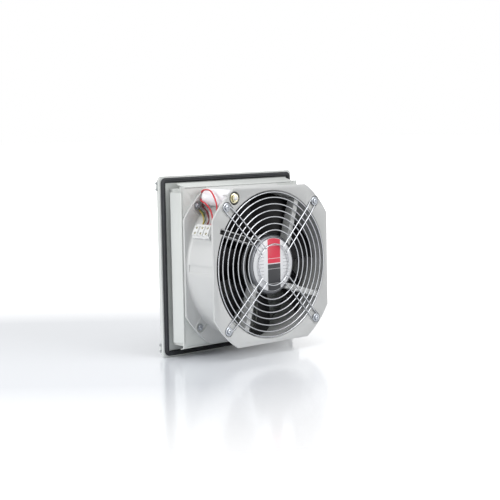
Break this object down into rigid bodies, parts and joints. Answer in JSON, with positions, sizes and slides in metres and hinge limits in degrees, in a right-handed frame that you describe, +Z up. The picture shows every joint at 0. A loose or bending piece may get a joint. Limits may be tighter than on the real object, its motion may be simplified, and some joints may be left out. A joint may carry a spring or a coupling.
{
  "type": "enclosure filter fan",
  "caption": "Square snap-in enclosure filter fan: louvred hinged cover, filter mat, gasketed housing with sprung flaps, axial fan and wire guard",
  "frame": {"origin": "centre of the gasket's sealing face, which is the outside of the panel that the fan is fitted in", "axes": "+Y into the enclosure along the air flow, +Z up, +X towards the hinged side of the front cover"},
  "size_m": [0.3255, 0.1438, 0.323],
  "materials": {
    "housing_plastic": "satin moulded",
    "cover_plastic": "satin moulded",
    "gasket_rubber": "foam strip",
    "dark_plastic": "matt",
    "zinc_steel": "bright zinc",
    "yellow_zinc": "yellow zinc",
    "filter_fleece": "spun fleece",
    "fan_casting": "powder coat",
    "motor_aluminium": "cast and turned",
    "label_film": "satin film",
    "core_steel": "laminated",
    "winding_copper": "enamelled copper wire",
    "bearing_steel": "ground",
    "rotor_steel": "satin",
    "blade_paint": "satin black",
    "guard_wire": "bright plated",
    "capacitor_plastic": "smooth",
    "black_plastic": "satin",
    "terminal_plastic": "smooth",
    "lead_red": "smooth sleeve",
    "lead_dark_red": "smooth sleeve",
    "lead_yellow": "smooth sleeve",
    "lead_green": "smooth sleeve"
  },
  "bodies": {
    "root": {"base_housing": "housing_plastic", "gasket": "gasket_rubber", "hinge_ears": "dark_plastic", "hinge_pins": "zinc_steel", "filter_grid": "housing_plastic", "filter_mat": "filter_fleece", "fan_plate_inner": "fan_casting", "fan_plate_outer": "fan_casting", "fan_duct": "fan_casting", "fan_struts": "fan_casting", "fan_screws": "zinc_steel", "fan_washers": "zinc_steel", "motor_cap": "motor_aluminium", "rating_label": "label_film", "motor_screws": "zinc_steel", "stator_core": "core_steel", "stator_windings": "winding_copper", "shaft_bearings": "bearing_steel", "finger_guard": "guard_wire", "guard_washers": "zinc_steel", "guard_screws": "zinc_steel", "capacitor": "capacitor_plastic", "capacitor_seat": "black_plastic", "capacitor_washer": "yellow_zinc", "capacitor_nut": "yellow_zinc", "capacitor_bracket": "fan_casting", "terminal_block": "terminal_plastic", "terminal_screws": "yellow_zinc", "motor_cable": "black_plastic", "red_lead_upper": "lead_red", "red_lead_lower": "lead_red", "winding_lead_outer": "lead_dark_red", "winding_lead_inner": "lead_dark_red", "earth_lead_outer": "lead_yellow", "earth_lead_inner": "lead_green", "earth_tag": "yellow_zinc"},
    "cover": {"cover_frame": "cover_plastic", "cover_louvres": "cover_plastic"},
    "rotor": {"motor_shaft": "bearing_steel", "shaft_circlip": "core_steel", "rotor_cup": "rotor_steel", "rotor_ring": "core_steel", "impeller": "blade_paint"},
    "flap_left": {"retaining_flap_left": "housing_plastic"},
    "flap_right": {"retaining_flap_right": "housing_plastic"},
    "flap_top": {"retaining_flap_top": "housing_plastic"},
    "flap_bottom": {"retaining_flap_bottom": "housing_plastic"}
  },
  "joints": [
    {"name": "rotor_spin", "type": "hinge", "parent": "root", "child": "rotor", "pos_m": [0, 0, 0], "axis": [0, 1, 0], "continuous": true},
    {"name": "cover_hinge", "type": "hinge", "parent": "root", "child": "cover", "pos_m": [0.1615, -0.0125, 0], "axis": [0, 0, 1], "range_deg": [0, 100]},
    {"name": "flap_left_hinge", "type": "hinge", "parent": "root", "child": "flap_left", "pos_m": [0.1415, 0.0295, 0], "axis": [0, 0, -1], "range_deg": [0, 12], "stiffness_Nm_per_rad": 0.6},
    {"name": "flap_right_hinge", "type": "hinge", "parent": "root", "child": "flap_right", "pos_m": [-0.1415, 0.0295, 0], "axis": [0, 0, 1], "range_deg": [0, 12], "stiffness_Nm_per_rad": 0.6},
    {"name": "flap_top_hinge", "type": "hinge", "parent": "root", "child": "flap_top", "pos_m": [0, 0.0295, 0.1415], "axis": [1, 0, 0], "range_deg": [0, 12], "stiffness_Nm_per_rad": 0.6},
    {"name": "flap_bottom_hinge", "type": "hinge", "parent": "root", "child": "flap_bottom", "pos_m": [0, 0.0295, -0.1415], "axis": [-1, 0, 0], "range_deg": [0, 12], "stiffness_Nm_per_rad": 0.6}
  ]
}
